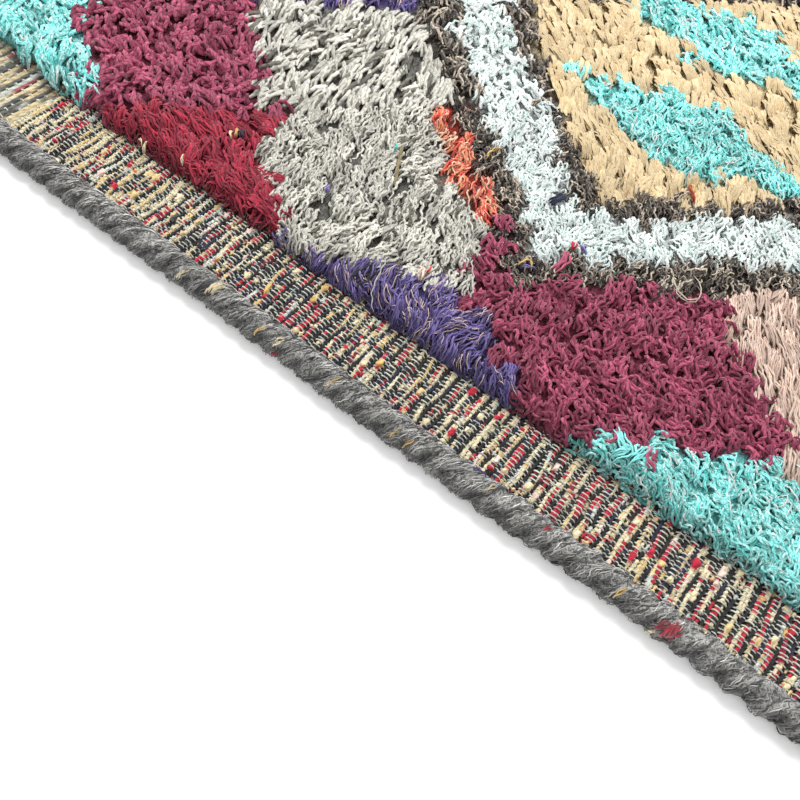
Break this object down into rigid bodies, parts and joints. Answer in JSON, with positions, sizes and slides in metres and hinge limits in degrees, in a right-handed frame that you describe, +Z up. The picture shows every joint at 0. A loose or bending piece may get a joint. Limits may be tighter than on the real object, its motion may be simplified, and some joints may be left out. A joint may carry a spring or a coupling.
{
  "type": "shag rug",
  "caption": "Small hand-knotted shag rug with a multicoloured lozenge pile, flat-woven striped side bands and grey overcast selvages.",
  "frame": {"origin": "on the floor under the middle of the rug", "axes": "+X along the overcast long sides, +Y across the rug along the wefts, +Z up out of the pile"},
  "size_m": [0.9, 0.602, 0.0182],
  "materials": {
    "ground_cloth": "matt plain-woven cotton and rag yarns in cream, black, red and navy",
    "pile": "matt shaggy wool and rag-yarn tufts in patches of colour",
    "selvage_wool": "matt fuzzy grey wool"
  },
  "bodies": {
    "root": {"ground_cloth": "ground_cloth", "pile_field": "pile", "selvage_back": "selvage_wool", "selvage_front": "selvage_wool"}
  },
  "joints": []
}
